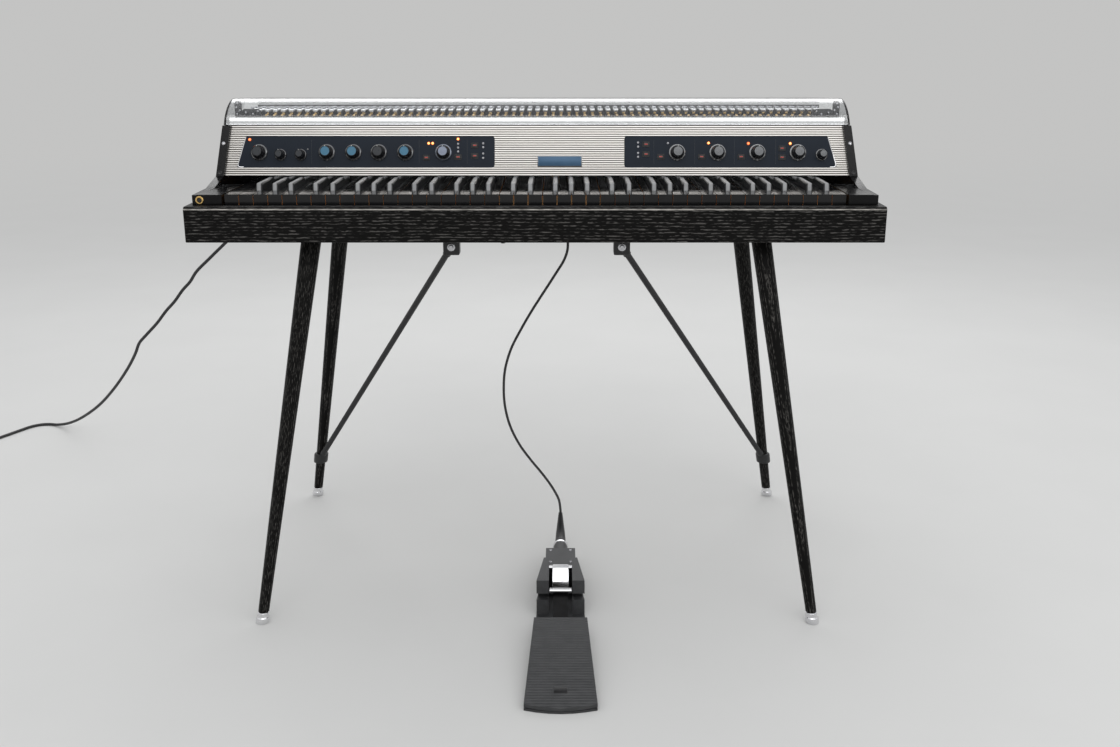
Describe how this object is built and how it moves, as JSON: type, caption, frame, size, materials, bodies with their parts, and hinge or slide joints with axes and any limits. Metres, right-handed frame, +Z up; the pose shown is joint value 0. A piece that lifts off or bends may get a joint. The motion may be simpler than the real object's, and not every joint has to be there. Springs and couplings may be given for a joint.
{
  "type": "electric piano",
  "caption": "Electric piano: black wooden case with struck tone bars under a clear lift-off hood, ribbed panel with knobs, splayed legs with braces, and a sustain pedal on a cable.",
  "frame": {"origin": "on the floor under the middle of the legs' and pedal's extent", "axes": "+X to the player's right along the keyboard, +Y from the player to the back, +Z up"},
  "size_m": [2.0799, 1.3774, 0.8913],
  "materials": {
    "black_wood": "black stain over open grain, satin",
    "side_black": "black lacquer, satin",
    "ribbed_aluminium": "fine horizontal ribs, bright",
    "slate": "slate blue-grey, satin",
    "clear_acrylic": "clear, polished",
    "chrome": "polished",
    "black_steel": "black, satin",
    "natural_black": "black, high gloss",
    "sharp_grey": "light grey, satin",
    "keybed_wood": "bare wood",
    "harp_metal": "bright, machined",
    "knob_black": "black, gloss",
    "knob_silver": "silver, brushed",
    "keypad_red": "dark red, satin",
    "cast_grey": "dark grey casting, satin",
    "board_grey": "dark grey, ribbed",
    "cord_black": "black, satin"
  },
  "bodies": {
    "case": {"case_tray": "black_wood", "front_rail": "black_wood", "left_cheek": "side_black", "right_cheek": "side_black", "name_rail": "ribbed_aluminium", "control_panel_left": "slate", "control_panel_right": "slate", "harp_frame": "harp_metal", "tone_bars": "harp_metal", "key_frame": "keybed_wood", "leg_front_left": "black_wood", "leg_front_right": "black_wood", "leg_rear_left": "black_wood", "leg_rear_right": "black_wood", "foot_front_left": "chrome", "foot_front_right": "chrome", "foot_rear_left": "chrome", "foot_rear_right": "chrome", "brace_left": "black_steel", "brace_right": "black_steel", "pedal_base": "cast_grey", "sustain_jack": "cord_black", "sustain_cable": "cord_black", "pedal_boot": "cord_black", "mains_gland": "cord_black", "mains_lead": "cord_black", "mains_coil": "cord_black", "mains_plug": "cord_black"},
    "key_c": {"key_c": "natural_black"},
    "key_c_sharp": {"key_c_sharp": "sharp_grey"},
    "key_d": {"key_d": "natural_black"},
    "key_d_sharp": {"key_d_sharp": "sharp_grey"},
    "key_e": {"key_e": "natural_black"},
    "key_f": {"key_f": "natural_black"},
    "key_f_sharp": {"key_f_sharp": "sharp_grey"},
    "key_g": {"key_g": "natural_black"},
    "key_g_sharp": {"key_g_sharp": "sharp_grey"},
    "key_a": {"key_a": "natural_black"},
    "key_a_sharp": {"key_a_sharp": "sharp_grey"},
    "key_b": {"key_b": "natural_black"},
    "key_bank": {"other_naturals": "natural_black", "other_sharps": "sharp_grey"},
    "knob_power": {"knob_power": "knob_black"},
    "knob_trim_low": {"knob_trim_low": "knob_black"},
    "knob_trim_high": {"knob_trim_high": "knob_black"},
    "knob_tone_1": {"knob_tone_1": "knob_black"},
    "knob_tone_2": {"knob_tone_2": "knob_black"},
    "knob_tone_3": {"knob_tone_3": "knob_black"},
    "knob_tone_4": {"knob_tone_4": "knob_black"},
    "knob_vibrato": {"knob_vibrato": "knob_silver"},
    "knob_effect_1": {"knob_effect_1": "knob_black"},
    "knob_effect_2": {"knob_effect_2": "knob_black"},
    "knob_effect_3": {"knob_effect_3": "knob_black"},
    "knob_effect_4": {"knob_effect_4": "knob_black"},
    "knob_balance": {"knob_balance": "knob_black"},
    "keypad_left": {"keypad_left": "keypad_red"},
    "keypad_right": {"keypad_right": "keypad_red"},
    "hood": {"hood": "clear_acrylic"},
    "pedal_board": {"pedal_board": "board_grey"},
    "pedal_lever": {"pedal_lever": "chrome"}
  },
  "joints": [
    {"name": "key_c_hinge", "type": "hinge", "parent": "case", "child": "key_c", "pos_m": [0, 0.09412, 0.728], "axis": [1, 0, 0], "range_deg": [0, 2.6], "stiffness_Nm_per_rad": 2.5, "springref_deg": -5.73},
    {"name": "key_c_sharp_hinge", "type": "hinge", "parent": "case", "child": "key_c_sharp", "pos_m": [0, 0.09412, 0.728], "axis": [1, 0, 0], "range_deg": [0, 2.6], "stiffness_Nm_per_rad": 2.5, "springref_deg": -5.73},
    {"name": "key_d_hinge", "type": "hinge", "parent": "case", "child": "key_d", "pos_m": [0, 0.09412, 0.728], "axis": [1, 0, 0], "range_deg": [0, 2.6], "stiffness_Nm_per_rad": 2.5, "springref_deg": -5.73},
    {"name": "key_d_sharp_hinge", "type": "hinge", "parent": "case", "child": "key_d_sharp", "pos_m": [0, 0.09412, 0.728], "axis": [1, 0, 0], "range_deg": [0, 2.6], "stiffness_Nm_per_rad": 2.5, "springref_deg": -5.73},
    {"name": "key_e_hinge", "type": "hinge", "parent": "case", "child": "key_e", "pos_m": [0, 0.09412, 0.728], "axis": [1, 0, 0], "range_deg": [0, 2.6], "stiffness_Nm_per_rad": 2.5, "springref_deg": -5.73},
    {"name": "key_f_hinge", "type": "hinge", "parent": "case", "child": "key_f", "pos_m": [0, 0.09412, 0.728], "axis": [1, 0, 0], "range_deg": [0, 2.6], "stiffness_Nm_per_rad": 2.5, "springref_deg": -5.73},
    {"name": "key_f_sharp_hinge", "type": "hinge", "parent": "case", "child": "key_f_sharp", "pos_m": [0, 0.09412, 0.728], "axis": [1, 0, 0], "range_deg": [0, 2.6], "stiffness_Nm_per_rad": 2.5, "springref_deg": -5.73},
    {"name": "key_g_hinge", "type": "hinge", "parent": "case", "child": "key_g", "pos_m": [0, 0.09412, 0.728], "axis": [1, 0, 0], "range_deg": [0, 2.6], "stiffness_Nm_per_rad": 2.5, "springref_deg": -5.73},
    {"name": "key_g_sharp_hinge", "type": "hinge", "parent": "case", "child": "key_g_sharp", "pos_m": [0, 0.09412, 0.728], "axis": [1, 0, 0], "range_deg": [0, 2.6], "stiffness_Nm_per_rad": 2.5, "springref_deg": -5.73},
    {"name": "key_a_hinge", "type": "hinge", "parent": "case", "child": "key_a", "pos_m": [0, 0.09412, 0.728], "axis": [1, 0, 0], "range_deg": [0, 2.6], "stiffness_Nm_per_rad": 2.5, "springref_deg": -5.73},
    {"name": "key_a_sharp_hinge", "type": "hinge", "parent": "case", "child": "key_a_sharp", "pos_m": [0, 0.09412, 0.728], "axis": [1, 0, 0], "range_deg": [0, 2.6], "stiffness_Nm_per_rad": 2.5, "springref_deg": -5.73},
    {"name": "key_b_hinge", "type": "hinge", "parent": "case", "child": "key_b", "pos_m": [0, 0.09412, 0.728], "axis": [1, 0, 0], "range_deg": [0, 2.6], "stiffness_Nm_per_rad": 2.5, "springref_deg": -5.73},
    {"name": "key_bank_hinge", "type": "hinge", "parent": "case", "child": "key_bank", "pos_m": [0, 0.09412, 0.728], "axis": [1, 0, 0], "range_deg": [0, 2.6], "stiffness_Nm_per_rad": 100, "springref_deg": -5.73},
    {"name": "knob_power_turn", "type": "hinge", "parent": "case", "child": "knob_power", "pos_m": [-0.48102, 0.02947, 0.80264], "axis": [0, -0.9659, 0.2588], "range_deg": [-150, 150]},
    {"name": "knob_trim_low_turn", "type": "hinge", "parent": "case", "child": "knob_trim_low", "pos_m": [-0.44398, 0.02843, 0.79877], "axis": [0, -0.9659, 0.2588], "range_deg": [-150, 150]},
    {"name": "knob_trim_high_turn", "type": "hinge", "parent": "case", "child": "knob_trim_high", "pos_m": [-0.409, 0.02843, 0.79877], "axis": [0, -0.9659, 0.2588], "range_deg": [-150, 150]},
    {"name": "knob_tone_1_turn", "type": "hinge", "parent": "case", "child": "knob_tone_1", "pos_m": [-0.36397, 0.02947, 0.80264], "axis": [0, -0.9659, 0.2588], "range_deg": [-150, 150]},
    {"name": "knob_tone_2_turn", "type": "hinge", "parent": "case", "child": "knob_tone_2", "pos_m": [-0.318, 0.02947, 0.80264], "axis": [0, -0.9659, 0.2588], "range_deg": [-150, 150]},
    {"name": "knob_tone_3_turn", "type": "hinge", "parent": "case", "child": "knob_tone_3", "pos_m": [-0.274, 0.02947, 0.80264], "axis": [0, -0.9659, 0.2588], "range_deg": [-150, 150]},
    {"name": "knob_tone_4_turn", "type": "hinge", "parent": "case", "child": "knob_tone_4", "pos_m": [-0.22799, 0.02947, 0.80264], "axis": [0, -0.9659, 0.2588], "range_deg": [-150, 150]},
    {"name": "knob_vibrato_turn", "type": "hinge", "parent": "case", "child": "knob_vibrato", "pos_m": [-0.16196, 0.02947, 0.80264], "axis": [0, -0.9659, 0.2588], "range_deg": [-150, 150]},
    {"name": "knob_effect_1_turn", "type": "hinge", "parent": "case", "child": "knob_effect_1", "pos_m": [0.24301, 0.02947, 0.80264], "axis": [0, -0.9659, 0.2588], "range_deg": [-150, 150]},
    {"name": "knob_effect_2_turn", "type": "hinge", "parent": "case", "child": "knob_effect_2", "pos_m": [0.31302, 0.02947, 0.80264], "axis": [0, -0.9659, 0.2588], "range_deg": [-150, 150]},
    {"name": "knob_effect_3_turn", "type": "hinge", "parent": "case", "child": "knob_effect_3", "pos_m": [0.382, 0.02947, 0.80264], "axis": [0, -0.9659, 0.2588], "range_deg": [-150, 150]},
    {"name": "knob_effect_4_turn", "type": "hinge", "parent": "case", "child": "knob_effect_4", "pos_m": [0.45201, 0.02947, 0.80264], "axis": [0, -0.9659, 0.2588], "range_deg": [-150, 150]},
    {"name": "knob_balance_turn", "type": "hinge", "parent": "case", "child": "knob_balance", "pos_m": [0.49302, 0.02843, 0.79877], "axis": [0, -0.9659, 0.2588], "range_deg": [-150, 150]},
    {"name": "keypad_left_press", "type": "slide", "parent": "case", "child": "keypad_left", "axis": [0, 0.9659, -0.2588], "range_m": [0, 0.001], "stiffness_N_per_m": 800, "springref_m": -0.0005},
    {"name": "keypad_right_press", "type": "slide", "parent": "case", "child": "keypad_right", "axis": [0, 0.9659, -0.2588], "range_m": [0, 0.001], "stiffness_N_per_m": 800, "springref_m": -0.0005},
    {"name": "hood_lift", "type": "slide", "parent": "case", "child": "hood", "axis": [0, 0, 1], "range_m": [0, 0.15]},
    {"name": "pedal_board_hinge", "type": "hinge", "parent": "case", "child": "pedal_board", "pos_m": [0.041, -0.43089, 0.0085], "axis": [1, 0, 0], "range_deg": [-4, 0], "stiffness_Nm_per_rad": 20, "springref_deg": 8.59},
    {"name": "pedal_lever_hinge", "type": "hinge", "parent": "case", "child": "pedal_lever", "pos_m": [0.041, -0.05289, 0.056], "axis": [1, 0, 0], "range_deg": [0, 17]}
  ],
  "couplings": [
    {"joint": "pedal_lever_hinge", "follows": "pedal_board_hinge", "ratio": -4.2}
  ]
}
